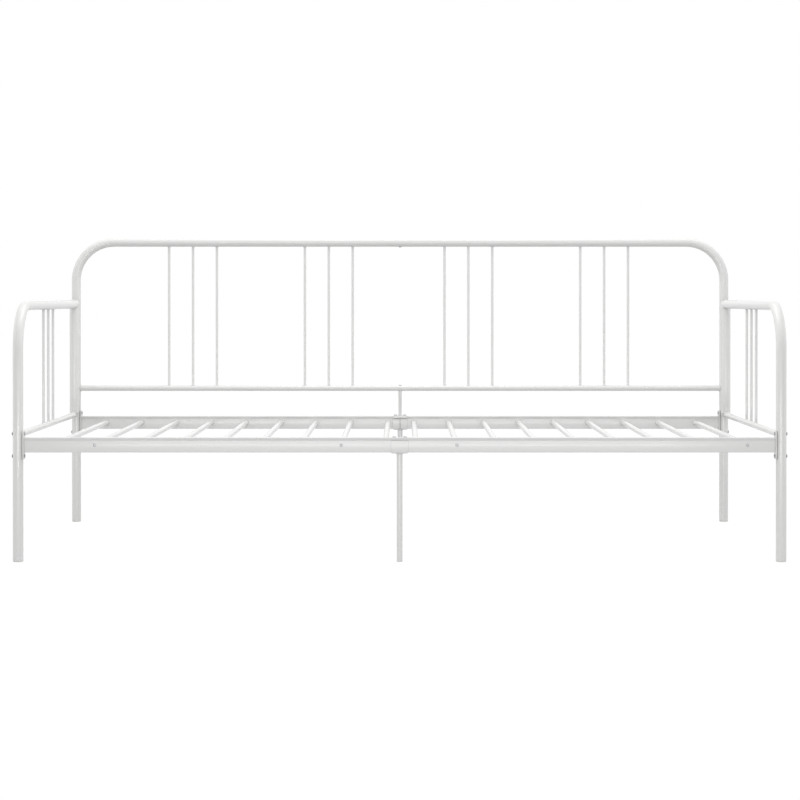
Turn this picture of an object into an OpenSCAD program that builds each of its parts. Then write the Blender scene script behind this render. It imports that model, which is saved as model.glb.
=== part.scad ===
// Tubular steel daybed: a back panel in two halves, two side panels with bent front
// legs, two seat rails in two halves and round cross slats. Millimetres, +Z up,
// +X along the length, +Y towards the back panel. The origin is on the floor under
// the middle of the overall box.

/* [Overall] */
// Distance between the legs' axes along the length
leg_pitch_x = 2046; // [1900:1:2200]
// Distance between the front and rear legs' axes
leg_pitch_y = 930; // [850:1:1010]
// Height of the top of the back panel
back_top_h = 896; // [800:1:1050]
// Height of the top of the arm rails
arm_top_h = 701; // [620:1:760]
// Height of the middle of the seat rails
seat_mid_h = 313; // [250:1:330]

/* [Main tube] */
// Outer diameter of the legs, arms and top rail
tube_d = 28; // [24:0.5:34]
// Wall of the main tube
tube_wall = 1.2; // [1:0.1:2]
// Radius of the bends, on the tube's axis
bend_r = 120; // [80:1:150]

/* [Cross rails] */
// Outer diameter of the lower rails of the back and the side panels
cross_d = 18; // [14:0.5:22]
// Wall of the lower rails
cross_wall = 1.2; // [0.8:0.1:1.6]
// Rise of the back panel's lower rail above the middle of the seat rails
back_cross_rise = 108.5; // [85:0.5:140]
// Rise of the side panels' lower rail above the middle of the seat rails
side_cross_rise = 27; // [22:0.5:50]
// Distance from the rear leg's axis to the side panel's rear upright
upright_offset = 41; // [36:0.5:60]

/* [Spindles] */
// Diameter of the solid spindles
spindle_d = 8; // [6:0.5:10]
// Distance between the spindles of one group
spindle_pitch = 75.5; // [50:0.5:85]
// Number of spindles in a group
group_size = 3; // [1:1:4]
// Distance between the middles of the two groups on half of the back
group_pitch = 429; // [380:1:470]
// How far the two groups of each half lie from mid-rail towards the centre joint
group_inset = 16.5; // [0:0.5:30]
// How far the pattern of both halves is moved to the left
group_sway = 4.75; // [0:0.25:10]
// Diameter of the post between the back panel's lower rail and the seat rail
post_d = 10.5; // [8:0.5:14]

/* [Seat rails] */
// Height of the seat rails
rail_h = 40; // [34:1:50]
// Thickness of the rail's body
rail_body_w = 16; // [14:0.5:20]
// How far the rail's top lip stands out on each side
lip_out = 2; // [1:0.25:3]
// Height of the sloping lip
lip_h = 8.5; // [6:0.5:10]
// Height of the bevel along the lip's upper edge
lip_rim = 1.5; // [1:0.25:2.5]
// Wall of the rails
rail_wall = 1.2; // [1:0.1:1.5]
// Radius of the rail's lower edges
rail_edge_r = 2; // [1:0.5:3]
// How far the rail's crowned faces fall back from mid-height to the lower edge
rail_crown = 0.8; // [0.3:0.1:1]
// Thickness of the plate on the rail's end
plate_t = 3; // [2:0.5:4]
// Height of the end plate
plate_h = 76; // [70:1:90]
// Width of the end plate
plate_w = 26; // [22:1:28]
// Rounding of the end plate's corners
plate_corner_r = 6; // [2:0.5:10]
// Distance between the end plate's two bolts
plate_bolt_pitch = 60; // [50:1:62]

/* [Slats] */
// Outer diameter of the slats
slat_d = 16; // [12:0.5:20]
// Wall of the slats
slat_wall = 1; // [0.8:0.1:1.5]
// Distance between the slats
slat_pitch = 110; // [80:1:140]
// Distance from the rail's outer end to the first slat
slat_end_gap = 80; // [70:1:100]
// Distance from the centre joint to the nearest slat
slat_joint_gap = 41; // [38:1:60]
// How far all slats are moved to the right
slat_sway = 2.5; // [0:0.25:6]
// Thickness of the plastic collar on a slat's end
slat_collar_t = 1; // [0.6:0.1:2]
// Diameter of the peg that holds a slat in the rail
peg_d = 6; // [4:0.5:8]
// Length of the peg behind the rail's face
peg_l = 9; // [6:0.5:11]

/* [Centre supports] */
// Length of the bracket round the rail joint
bracket_l = 45; // [43:1:56]
// Sheet of the bracket
bracket_t = 2; // [1.5:0.1:3]
// Width of the slit in the bracket's inner wall
bracket_slit = 3; // [1:0.5:4]
// Gap between the two halves of a seat rail
rail_joint_gap = 1; // [0.5:0.1:2]
// Distance between the bracket's two bolts
bracket_bolt_pitch = 29; // [26:1:32]
// Height of the heads of the bracket's bolts
bracket_head_h = 4.5; // [3:0.25:5]
// Outer diameter of the centre legs
centre_leg_d = 15.5; // [14:0.5:20]
// Wall of the centre legs
centre_leg_wall = 1.2; // [1:0.1:2]
// Sheet of the saddle under the centre post
saddle_t = 1.5; // [1:0.1:2]
// How far the saddle's edges reach down beside the rail's lip
saddle_drop = 5.5; // [3:0.5:6]

/* [Joints of the back panel] */
// How far the seam of the top rail lies to the left of the middle
top_seam = 25; // [20:1:40]
// How far the seam of the lower rail lies to the left of the middle
lower_seam = 20; // [15:1:30]
// Length of the spigot on the left of the seam
spigot_hold = 60; // [40:1:90]
// Length of the spigot on the right of the seam
spigot_reach = 50; // [46:1:80]
// Wall of the spigots
spigot_wall = 1.5; // [1:0.1:2]

/* [Fasteners] */
// Diameter of the bolts' shanks
bolt_d = 6; // [5:0.5:7]
// Diameter of the domed heads
head_d = 11; // [10:0.5:12]
// Height of the domed heads
head_h = 3; // [2.5:0.25:4]
// Width of the hexagon socket, as a share of the bolt's diameter
socket_share = 0.72; // [0.6:0.02:0.8]
// Height of the head that is left under the socket, as a share of the head's height
socket_floor = 0.4; // [0.3:0.05:0.6]
// Height of the domed heads of the nuts inside the end plates
nut_head_h = 3; // [2:0.25:4]
// How far a rail bolt's tip stops short of the end plate's inner face
rail_bolt_short = 2; // [1:1:6]
// Outer diameter of the threaded sleeves
sleeve_d = 9; // [8.5:0.5:9.5]
// Height of the low flange on a threaded sleeve
sleeve_flange_h = 1; // [0.6:0.1:1.4]
// Length of a threaded sleeve's barrel
nut_barrel = 10; // [8:1:12]
// Length of thread in the centre post's top end
post_thread = 14; // [8:1:20]
// Length of the threaded insert in a tie slat's end
insert_l = 22; // [16:1:40]
// How far a slat screw's tip stops short of the insert's end
screw_short = 4; // [2:1:8]
// Diameter of the heads of the screws that hold the tie slats
screw_head_d = 9; // [8.5:0.5:11]
// Height of the heads of the screws that hold the tie slats
screw_head_h = 2.2; // [2:0.1:3.5]
// Distance of the upper bolt between side panel and back panel from the arm's top
side_bolt_drop = 63.5; // [50:0.5:100]
// Rise of the lower bolt between side panel and back panel above the seat rails' middle
side_bolt_rise = 73; // [65:0.5:80]
// Outer diameter of the spacer between a side panel and the back panel
spacer_d = 16; // [13:0.5:20]

/* [Feet and plugs] */
// Height of the feet's rims
foot_h = 4; // [2:0.5:8]
// Rounding of the feet's lower edges
foot_edge_r = 2; // [0.5:0.25:2]
// Thickness of the visible rim of a tube plug
plug_rim = 2; // [1:0.5:4]
// Length of a foot or plug inside its tube
plug_depth = 14; // [8:1:20]

/* [Clearances] */
// Clearance between welded tubes
weld_gap = 0.1; // [0.05:0.05:0.2]
// Radial clearance of spigots, plugs and threads
fit_play = 0.1; // [0.05:0.05:0.2]
// Radial clearance of bolts in drilled holes
hole_play = 0.25; // [0.2:0.05:0.4]

/* [Hidden] */
$fn = 48;
crown_fn = 720;
tube_r = tube_d / 2;
cross_r = cross_d / 2;
eps = 0.02;
cut = 2;
least_edge_r = 0.4;
// Share of a rounded edge's radius that lies inside the crowned face
edge_share = 0.9;
// How far the lip's slope goes on inside the rail's body
root_depth = 2;

// Heights of the lower rails' axes and of the bolts between side and back panels
back_cross_h = seat_mid_h + back_cross_rise;
side_cross_h = seat_mid_h + side_cross_rise;
side_bolts_z = [seat_mid_h + side_bolt_rise, arm_top_h - side_bolt_drop];

// Places of the legs, worked out so that the overall box is centred on the origin:
// at the back the bolts' heads stand out behind the legs
leg_x = leg_pitch_x / 2;
total_y = leg_pitch_y + tube_d + head_h;
front_y = -total_y / 2 + tube_r;
rear_y = front_y + leg_pitch_y;
upright_y = rear_y - upright_offset;
arm_z = arm_top_h - tube_r;
top_z = back_top_h - tube_r;
straight_mid = (leg_x - bend_r) / 2;
side_mid_y = (front_y + upright_y) / 2;

// Rails and slats
rail_r = rail_body_w / 2;
rail_lip_r = rail_r + lip_out;
rail_top = seat_mid_h + rail_h / 2;
rail_bottom = seat_mid_h - rail_h / 2;
crown_r = (rail_h * rail_h / 4 + rail_crown * rail_crown) / (2 * rail_crown);
plate_x = leg_x - tube_r;
rail_end_x = plate_x - plate_t;
regular_slats = floor((plate_x - slat_end_gap - slat_joint_gap) / slat_pitch);
slats_left_x = concat([for (k = [0:regular_slats - 1])
                           slat_sway - plate_x + slat_end_gap + k * slat_pitch],
                      [slat_sway - slat_joint_gap]);
slats_right_x = concat([for (k = [0:regular_slats - 1])
                            slat_sway + slat_joint_gap + k * slat_pitch],
                       [slat_sway + plate_x - slat_end_gap]);
ties_left = [1, regular_slats - 1];
ties_right = [1, regular_slats];
slat_span = leg_pitch_y - rail_body_w;
bracket_mid = rail_r + fit_play + bracket_t / 2;
saddle_half = rail_lip_r + fit_play + saddle_t;
bracket_top = rail_top - lip_h;
bracket_z = rail_bottom - bracket_t;

// Signs of the two ends and places of the two rails
SIDES = [-1, 1];
RAIL_Y = [front_y, rear_y];

// The screwed tie slats, counted from the left of each half, and the plugged ones
function is_tie(k, ties) = len([for (t = ties) if (t == k) 1]) > 0;
function pick(xs, ties, tie) = [for (k = [0:len(xs) - 1]) if (is_tie(k, ties) == tie) xs[k]];
plain_x = concat(pick(slats_left_x, ties_left, false), pick(slats_right_x, ties_right, false));
tie_x = concat(pick(slats_left_x, ties_left, true), pick(slats_right_x, ties_right, true));

// Heights of the bolts through the legs, and lengths of the bolts
plate_bolts_z = [for (s = SIDES) seat_mid_h + s * plate_bolt_pitch / 2];
top_bolt_l = nut_barrel;
lower_bolt_l = cross_d + post_thread;
side_bolt_l = upright_offset + nut_barrel;

// ---------- shapes that several sub-parts share ----------

// Straight round tube along +Z
module pipe(d, wall, l) {
    difference() {
        cylinder(d = d, h = l);
        translate([0, 0, -cut]) cylinder(d = d - 2 * wall, h = l + 2 * cut);
    }
}

// Quarter bend of the main tube about +Z, from +X to +Y
module quarter_bend() {
    rotate_extrude(angle = 90) translate([bend_r, 0]) difference() {
        circle(d = tube_d);
        circle(d = tube_d - 2 * tube_wall);
    }
}

// Cylinder along +X, centred on its own length when mid is true
module rod_x(d, l, mid = false) {
    rotate([0, 90, 0]) cylinder(d = d, h = l, center = mid);
}

// Cylinder along +Y, centred on its own length when mid is true
module rod_y(d, l, mid = false) {
    rotate([-90, 0, 0]) cylinder(d = d, h = l, center = mid);
}

// Domed head whose flat side is at z = 0 and whose dome points to +Z
module dome(d, h) {
    sphere_r = (d * d / 4 + h * h) / (2 * h);
    steps = 6;
    sweep = asin(d / 2 / sphere_r);
    rotate_extrude() polygon(concat([[0, 0]],
        [for (k = [0:steps]) [sphere_r * sin(sweep * (1 - k / steps)),
                              sphere_r * cos(sweep * (1 - k / steps)) - sphere_r + h]]));
}

// Domed bolt: the head stands on z = 0 and the shank runs down to z = -l
module bolt(l, d = bolt_d, hd = head_d, hh = head_h) {
    socket_d = d * socket_share;
    difference() {
        union() {
            dome(hd, hh);
            translate([0, 0, -l]) cylinder(d = d, h = l + eps);
        }
        translate([0, 0, hh * socket_floor]) cylinder(d = socket_d, h = hh, $fn = 6);
    }
}

// Threaded sleeve: the head stands on z = 0 and the barrel runs down to z = -l
module sleeve(l, hh, domed = false) {
    difference() {
        union() {
            if (domed) dome(head_d, hh);
            else cylinder(d = head_d, h = hh);
            translate([0, 0, -l]) cylinder(d = sleeve_d, h = l + eps);
        }
        translate([0, 0, -l - cut])
            cylinder(d = bolt_d + 2 * fit_play, h = l + cut + hh * socket_floor);
    }
}

// Plug for a tube's end: the rim stands on z = 0 upwards, the insert runs down
module plug(d, wall, rim, edge_r) {
    rotate_extrude() {
        square([d / 2, rim - edge_r]);
        square([d / 2 - edge_r, rim]);
        translate([d / 2 - edge_r, rim - edge_r]) circle(r = edge_r);
    }
    translate([0, 0, -plug_depth]) cylinder(d = d - 2 * wall - 2 * fit_play, h = plug_depth + eps);
}

// ---------- back panel ----------

// Holes for the rail bolts in a leg: the bolt's outside, the sleeve's inside
module leg_rail_holes(side, y) {
    for (z = plate_bolts_z) {
        translate([side * leg_x, y, z]) {
            rod_x(bolt_d + 2 * hole_play, tube_d + cut, true);
            translate([-side * tube_r / 2, 0, 0])
                rod_x(sleeve_d + 2 * hole_play, tube_r, true);
        }
    }
}

// Half of the hoop: leg, bend and top rail, drawn for the right side with its inner
// end at x = inner_x
module hoop_right(inner_x) {
    translate([leg_x, rear_y, foot_h]) pipe(tube_d, tube_wall, top_z - bend_r - foot_h);
    translate([leg_x - bend_r, rear_y, top_z - bend_r]) rotate([90, 0, 0]) quarter_bend();
    translate([inner_x, rear_y, top_z]) rotate([0, 90, 0])
        pipe(tube_d, tube_wall, leg_x - bend_r - inner_x);
}

module hoop_holes(side) {
    leg_rail_holes(side, rear_y);
    for (z = side_bolts_z)
        translate([side * leg_x, rear_y, z]) rod_y(bolt_d + 2 * hole_play, tube_d + cut, true);
}

module back_hoop_left() {
    color("white") difference() {
        mirror([1, 0, 0]) hoop_right(top_seam + weld_gap);
        hoop_holes(-1);
    }
}

module back_hoop_right() {
    color("white") difference() {
        hoop_right(-top_seam);
        hoop_holes(1);
        translate([0, rear_y, top_z - tube_d]) cylinder(d = bolt_d + 2 * hole_play, h = tube_d);
    }
}

// The spigot sits in the left half and slides into the right half
module spigot(d, seam, z) {
    translate([-seam - spigot_hold, rear_y, z]) rotate([0, 90, 0])
        pipe(d, spigot_wall, spigot_hold + spigot_reach);
}

module back_top_spigot() {
    color("silver") difference() {
        spigot(tube_d - 2 * tube_wall - 2 * fit_play, top_seam, top_z);
        translate([0, rear_y, top_z - tube_r]) cylinder(d = sleeve_d + 2 * fit_play, h = tube_r);
    }
}

// Lower rail of the back, from x0 to x1, with its outer end shaped to the leg
module lower_rail(x0, x1) {
    difference() {
        translate([x0, rear_y, back_cross_h]) rotate([0, 90, 0]) pipe(cross_d, cross_wall, x1 - x0);
        for (s = SIDES) translate([s * leg_x, rear_y, back_cross_h - cross_d])
            cylinder(r = tube_r + weld_gap, h = 2 * cross_d);
    }
}

module lower_bolt_hole() {
    translate([0, rear_y, back_cross_h - cross_d])
        cylinder(d = bolt_d + 2 * hole_play, h = 2 * cross_d);
}

module back_lower_rail_left() {
    color("white") lower_rail(-leg_x, -lower_seam - weld_gap);
}

module back_lower_rail_right() {
    color("white") difference() {
        lower_rail(-lower_seam, leg_x);
        lower_bolt_hole();
    }
}

module back_lower_spigot() {
    color("silver") difference() {
        spigot(cross_d - 2 * cross_wall - 2 * fit_play, lower_seam, back_cross_h);
        lower_bolt_hole();
    }
}

// Spindles at the places in xs, between the lower rail and the top rail
module back_spindles(xs) {
    color("white") difference() {
        for (x = xs) translate([x, rear_y, back_cross_h])
            cylinder(d = spindle_d, h = top_z - back_cross_h);
        translate([0, rear_y, back_cross_h]) rod_x(cross_d + 2 * weld_gap, leg_pitch_x, true);
        translate([0, rear_y, top_z]) rod_x(tube_d + 2 * weld_gap, leg_pitch_x, true);
    }
}

// Places of the spindles in the two groups about mid
function group_places(mid) =
    [for (g = [-1, 1]) for (k = [0:group_size - 1])
        mid + g * group_pitch / 2 + (k - (group_size - 1) / 2) * spindle_pitch];

module back_spindles_left() {
    back_spindles(group_places(-straight_mid + group_inset - group_sway));
}

module back_spindles_right() {
    back_spindles(group_places(straight_mid - group_inset - group_sway));
}

// One bolt comes up into the top rail, the other goes down through the lower rail
// into the centre post
module back_joint_bolts() {
    color("gray") {
        translate([0, rear_y, top_z - tube_r]) rotate([180, 0, 0]) bolt(top_bolt_l);
        translate([0, rear_y, back_cross_h + cross_r]) bolt(lower_bolt_l);
    }
}

// Threaded sleeve in the spigot's wall; it stands just clear of the top rail's bore
module back_joint_nut() {
    bore_r = tube_r - tube_wall;
    foot = top_z - sqrt(bore_r * bore_r - sleeve_d * sleeve_d / 4) + fit_play;
    color("silver") translate([0, rear_y, foot]) difference() {
        cylinder(d = sleeve_d, h = nut_barrel);
        translate([0, 0, -cut]) cylinder(d = bolt_d + 2 * fit_play, h = nut_barrel + 2 * cut);
    }
}

// Section of the saddle, whose edges are turned down beside the rail's lip
module saddle_outline() {
    difference() {
        union() {
            translate([-saddle_half, -saddle_drop]) square([2 * saddle_half, saddle_drop]);
            translate([saddle_t - saddle_half, -saddle_t])
                square([2 * (saddle_half - saddle_t), 2 * saddle_t]);
            for (s = SIDES) translate([s * (saddle_half - saddle_t), 0]) circle(r = saddle_t);
        }
        translate([saddle_t - saddle_half, -saddle_drop - cut])
            square([2 * (saddle_half - saddle_t), saddle_drop + cut]);
    }
}

// Post with the saddle that the rear bracket's bolts hold down on the rail
module rear_centre_post() {
    post_foot = rail_top + saddle_t;
    post_l = back_cross_h - post_foot;
    color("white") difference() {
        union() {
            translate([0, rear_y, post_foot - eps]) cylinder(d = post_d, h = post_l + eps);
            translate([-bracket_l / 2, rear_y, rail_top]) rotate([90, 0, 90])
                linear_extrude(bracket_l) saddle_outline();
        }
        translate([0, rear_y, back_cross_h]) rod_x(cross_d + 2 * weld_gap, bracket_l, true);
        translate([0, rear_y, back_cross_h + cross_r - lower_bolt_l - cut])
            cylinder(d = bolt_d + 2 * fit_play, h = lower_bolt_l);
        for (s = SIDES) translate([s * bracket_bolt_pitch / 2, rear_y, rail_top - cut])
            cylinder(d = bolt_d + 2 * hole_play, h = saddle_t + 2 * cut);
    }
}

// ---------- side panels, drawn for the right side ----------

module arm_tube_right() {
    arm_l = upright_y + tube_r - plug_rim - (front_y + bend_r);
    difference() {
        translate([leg_x, 0, 0]) {
            translate([0, front_y, foot_h]) pipe(tube_d, tube_wall, arm_z - bend_r - foot_h);
            translate([0, front_y + bend_r, arm_z - bend_r]) mirror([0, 1, 0])
                rotate([90, 0, 90]) quarter_bend();
            translate([0, front_y + bend_r, arm_z]) rotate([-90, 0, 0])
                pipe(tube_d, tube_wall, arm_l);
        }
        leg_rail_holes(1, front_y);
    }
}

module arm_cutter() {
    translate([leg_x, side_mid_y, arm_z]) rod_y(tube_d + 2 * weld_gap, leg_pitch_y, true);
}

module cross_cutter() {
    translate([leg_x, side_mid_y, side_cross_h]) rod_y(cross_d + 2 * weld_gap, leg_pitch_y, true);
}

// The upright stands on the cross rail with a closed lower end
module upright_right() {
    seat_dip = 3;
    foot = side_cross_h + cross_r - seat_dip;
    difference() {
        translate([leg_x, upright_y, foot]) difference() {
            cylinder(d = tube_d, h = arm_z - foot);
            translate([0, 0, seat_dip + tube_wall])
                cylinder(d = tube_d - 2 * tube_wall, h = arm_z - foot);
        }
        arm_cutter();
        cross_cutter();
        for (z = side_bolts_z) translate([leg_x, upright_y, z])
            rod_y(sleeve_d + 2 * fit_play, tube_d);
    }
}

module cross_rail_right() {
    rail_l = upright_y + tube_r - plug_rim - front_y;
    difference() {
        translate([leg_x, front_y, side_cross_h]) rotate([-90, 0, 0])
            pipe(cross_d, cross_wall, rail_l);
        translate([leg_x, front_y, side_cross_h - cross_d])
            cylinder(r = tube_r + weld_gap, h = 2 * cross_d);
    }
}

module side_spindles_right() {
    difference() {
        for (k = [0:group_size - 1])
            translate([leg_x, side_mid_y + (k - (group_size - 1) / 2) * spindle_pitch, side_cross_h])
                cylinder(d = spindle_d, h = arm_z - side_cross_h);
        arm_cutter();
        cross_cutter();
    }
}

module side_left_arm_tube() { color("white") mirror([1, 0, 0]) arm_tube_right(); }
module side_right_arm_tube() { color("white") arm_tube_right(); }
module side_left_upright() { color("white") mirror([1, 0, 0]) upright_right(); }
module side_right_upright() { color("white") upright_right(); }
module side_left_cross_rail() { color("white") mirror([1, 0, 0]) cross_rail_right(); }
module side_right_cross_rail() { color("white") cross_rail_right(); }
module side_left_spindles() { color("white") mirror([1, 0, 0]) side_spindles_right(); }
module side_right_spindles() { color("white") side_spindles_right(); }

// Plugs in the rear ends of the tubes at height z
module rear_end_plugs(d, wall, z) {
    for (s = SIDES) translate([s * leg_x, upright_y + tube_r - plug_rim, z])
        rotate([-90, 0, 0]) plug(d, wall, plug_rim, plug_rim / 2);
}

module arm_end_plugs() { color("whitesmoke") rear_end_plugs(tube_d, tube_wall, arm_z); }
module cross_rail_plugs() { color("whitesmoke") rear_end_plugs(cross_d, cross_wall, side_cross_h); }

// ---------- joints between the side panels and the back panel ----------

module at_side_joints() {
    for (s = SIDES) for (z = side_bolts_z) translate([s * leg_x, 0, z]) children();
}

module side_joint_bolts() {
    color("gray") at_side_joints()
        translate([0, rear_y + tube_r, 0]) rotate([-90, 0, 0]) bolt(side_bolt_l);
}

// Threaded sleeves in the uprights; they end just below the tube's round surface
module side_joint_nuts() {
    end_y = upright_y + sqrt(tube_r * tube_r - sleeve_d * sleeve_d / 4);
    color("silver") at_side_joints()
        translate([0, end_y, 0]) rotate([-90, 0, 0]) difference() {
            translate([0, 0, -nut_barrel]) cylinder(d = sleeve_d, h = nut_barrel);
            translate([0, 0, -nut_barrel - cut])
                cylinder(d = bolt_d + 2 * fit_play, h = nut_barrel + 2 * cut);
        }
}

// Spacer whose ends are hollowed to the two tubes
module side_joint_spacers() {
    color("whitesmoke") at_side_joints() difference() {
        translate([0, upright_y, 0]) rod_y(spacer_d, upright_offset);
        translate([0, upright_y, 0]) rod_y(bolt_d + 2 * hole_play, upright_offset);
        for (y = [upright_y, rear_y]) translate([0, y, -spacer_d])
            cylinder(r = tube_r + weld_gap, h = 2 * spacer_d);
    }
}

// ---------- seat rails ----------

// Half the thickness of the rail at height z above its middle, for a skin t inside it
function face_at(z, t) = rail_r - crown_r + sqrt((crown_r - t) * (crown_r - t) - z * z);

// Filled section t inside the rail's crowned faces, between the heights low and high,
// with its lower edges rounded
module crowned_section(t, low, high, edge_r) {
    corner = face_at(low + edge_r, t) - edge_share * edge_r;
    wide = rail_r - t + edge_r;
    intersection() {
        union() {
            translate([-wide, low + edge_r]) square([2 * wide, high - low - edge_r]);
            translate([-corner, low]) square([2 * corner, 2 * edge_r]);
            for (s = SIDES) translate([s * corner, low + edge_r]) circle(r = edge_r);
        }
        translate([rail_r - crown_r, 0]) circle(r = crown_r - t, $fn = crown_fn);
        translate([crown_r - rail_r, 0]) circle(r = crown_r - t, $fn = crown_fn);
    }
}

// Outline of the rail shrunk by t: a body with crowned faces and a lip on top
module rail_outline(t) {
    half_h = rail_h / 2 - t;
    lip = rail_lip_r - t;
    lip_foot = rail_h / 2 - lip_h;
    body = face_at(lip_foot, t);
    root = body - root_depth * (lip - body) / (half_h - lip_rim - lip_foot);
    crowned_section(t, -half_h, lip_foot + rail_wall, max(rail_edge_r - t, least_edge_r));
    polygon([[-root, lip_foot - root_depth], [root, lip_foot - root_depth],
             [lip, half_h - lip_rim], [lip - lip_rim / 2, half_h],
             [-lip + lip_rim / 2, half_h], [-lip, half_h - lip_rim]]);
}

// Rail from x0 to x1 at y, with holes for the slats in xs on its inner side
module seat_rail(y, x0, x1, xs, ties) {
    inner = y < 0 ? 1 : -1;
    bolt_x = (x0 + x1 < 0 ? -1 : 1) * bracket_bolt_pitch / 2;
    color("white") difference() {
        translate([x0, y, seat_mid_h]) rotate([90, 0, 90]) linear_extrude(x1 - x0)
            difference() {
                rail_outline(0);
                rail_outline(rail_wall);
            }
        for (k = [0:len(xs) - 1]) translate([xs[k], y, seat_mid_h]) {
            hole = 2 * hole_play + (is_tie(k, ties) ? bolt_d : peg_d);
            translate([0, inner * rail_r, 0]) rod_y(hole, rail_r, true);
            if (is_tie(k, ties)) translate([0, -inner * rail_r, 0]) rod_y(hole, rail_r, true);
        }
        translate([bolt_x, y, seat_mid_h]) cylinder(d = bolt_d + 2 * hole_play, h = rail_h);
        translate([bolt_x, y, seat_mid_h - rail_h])
            cylinder(d = sleeve_d + 2 * hole_play, h = rail_h);
    }
}

module left_rail(y) { seat_rail(y, -rail_end_x, -rail_joint_gap / 2, slats_left_x, ties_left); }
module right_rail(y) { seat_rail(y, rail_joint_gap / 2, rail_end_x, slats_right_x, ties_right); }
module front_rail_left() { left_rail(front_y); }
module front_rail_right() { right_rail(front_y); }
module rear_rail_left() { left_rail(rear_y); }
module rear_rail_right() { right_rail(rear_y); }

// Flat plate with rounded corners on each rail's outer end
module end_plate() {
    corner_y = plate_w / 2 - plate_corner_r;
    corner_z = plate_h / 2 - plate_corner_r;
    difference() {
        union() {
            translate([0, -plate_w / 2, -corner_z]) cube([plate_t, plate_w, 2 * corner_z]);
            translate([0, -corner_y, -plate_h / 2]) cube([plate_t, 2 * corner_y, plate_h]);
            for (s = SIDES) for (u = SIDES) translate([0, s * corner_y, u * corner_z])
                rod_x(2 * plate_corner_r, plate_t);
        }
        for (s = SIDES) translate([-cut, 0, s * plate_bolt_pitch / 2])
            rod_x(sleeve_d + 2 * hole_play, plate_t + 2 * cut);
    }
}

module rail_end_plates() {
    color("white") for (y = RAIL_Y) for (s = SIDES)
        translate([s * plate_x, y, seat_mid_h]) mirror([s > 0 ? 1 : 0, 0, 0]) end_plate();
}

// Bolts through legs and end plates: the head is outside and the nut is inside
module at_plate_bolts() {
    for (y = RAIL_Y) for (s = SIDES) for (z = plate_bolts_z)
        translate([s * leg_x, y, z]) mirror([s > 0 ? 0 : 1, 0, 0]) children();
}

module rail_bolts() {
    color("gray") at_plate_bolts()
        translate([tube_r, 0, 0]) rotate([0, 90, 0]) bolt(tube_d + plate_t - rail_bolt_short);
}

module rail_nuts() {
    color("gray") at_plate_bolts()
        translate([-tube_r - plate_t, 0, 0]) rotate([0, -90, 0])
            sleeve(nut_barrel, nut_head_h, true);
}

// ---------- slats ----------

module slats(xs) {
    slat_l = slat_span - 2 * slat_collar_t;
    color("white") for (x = xs)
        translate([x, front_y + rail_r + slat_collar_t, seat_mid_h]) rotate([-90, 0, 0])
            pipe(slat_d, slat_wall, slat_l);
}

module slats_left_plain() { slats(pick(slats_left_x, ties_left, false)); }
module slats_left_tie() { slats(pick(slats_left_x, ties_left, true)); }
module slats_right_plain() { slats(pick(slats_right_x, ties_right, false)); }
module slats_right_tie() { slats(pick(slats_right_x, ties_right, true)); }

// Points +Z out of the slat's end towards the rail, on the rail at y
module at_slat_ends(xs, y) {
    inner = y < 0 ? 1 : -1;
    for (x = xs) translate([x, y + inner * rail_r, seat_mid_h]) rotate([inner * 90, 0, 0]) children();
}

// Plastic end of a slat: insert, collar against the rail and peg into the rail
module slat_plug() {
    translate([0, 0, -slat_collar_t]) cylinder(d = slat_d, h = slat_collar_t);
    translate([0, 0, -slat_collar_t - plug_depth])
        cylinder(d = slat_d - 2 * slat_wall - 2 * fit_play, h = plug_depth + eps);
    translate([0, 0, -eps]) cylinder(d = peg_d, h = peg_l + eps);
}

module slat_plugs_front() { color("whitesmoke") at_slat_ends(plain_x, front_y) slat_plug(); }
module slat_plugs_rear() { color("whitesmoke") at_slat_ends(plain_x, rear_y) slat_plug(); }

// Threaded steel end of a slat that a screw pulls against the rail
module slat_inserts() {
    color("silver") for (y = RAIL_Y) at_slat_ends(tie_x, y) difference() {
        union() {
            translate([0, 0, -slat_collar_t]) cylinder(d = slat_d, h = slat_collar_t);
            translate([0, 0, -insert_l])
                cylinder(d = slat_d - 2 * slat_wall - 2 * fit_play, h = insert_l - eps);
        }
        translate([0, 0, -insert_l - cut])
            cylinder(d = bolt_d + 2 * fit_play, h = insert_l + 2 * cut);
    }
}

module slat_screws() {
    color("gray") for (y = RAIL_Y) at_slat_ends(tie_x, y)
        translate([0, 0, rail_body_w])
            bolt(rail_body_w + insert_l - screw_short, bolt_d, screw_head_d, screw_head_h);
}

// ---------- centre supports ----------

// Section of the bracket, which follows the rail's faces and its lower edges
module bracket_outline() {
    low = bracket_z - seat_mid_h;
    high = bracket_top - seat_mid_h;
    difference() {
        crowned_section(-fit_play - bracket_t, low, high, rail_edge_r + bracket_t);
        crowned_section(-fit_play, low + bracket_t, high + cut, rail_edge_r);
    }
}

// U-shaped bracket under the joint of a rail; side is +1 where the slats lie at +Y
module centre_bracket(y, side) {
    color("white") translate([0, y, 0]) difference() {
        translate([-bracket_l / 2, 0, seat_mid_h]) rotate([90, 0, 90])
            linear_extrude(bracket_l) bracket_outline();
        translate([-bracket_slit / 2, side * bracket_mid - 2 * bracket_t, rail_bottom])
            cube([bracket_slit, 4 * bracket_t, rail_h]);
        for (s = SIDES) translate([s * bracket_bolt_pitch / 2, 0, bracket_z - cut])
            cylinder(d = sleeve_d + 2 * fit_play, h = bracket_t + 2 * cut);
    }
}

module centre_bracket_front() { centre_bracket(front_y, 1); }
module centre_bracket_rear() { centre_bracket(rear_y, -1); }

module centre_leg(y) {
    color("white") translate([0, y, foot_h])
        pipe(centre_leg_d, centre_leg_wall, bracket_z - foot_h);
}

module centre_leg_front() { centre_leg(front_y); }
module centre_leg_rear() { centre_leg(rear_y); }

module at_bracket_bolts(y) {
    for (s = SIDES) translate([s * bracket_bolt_pitch / 2, y, 0]) children();
}

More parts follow.
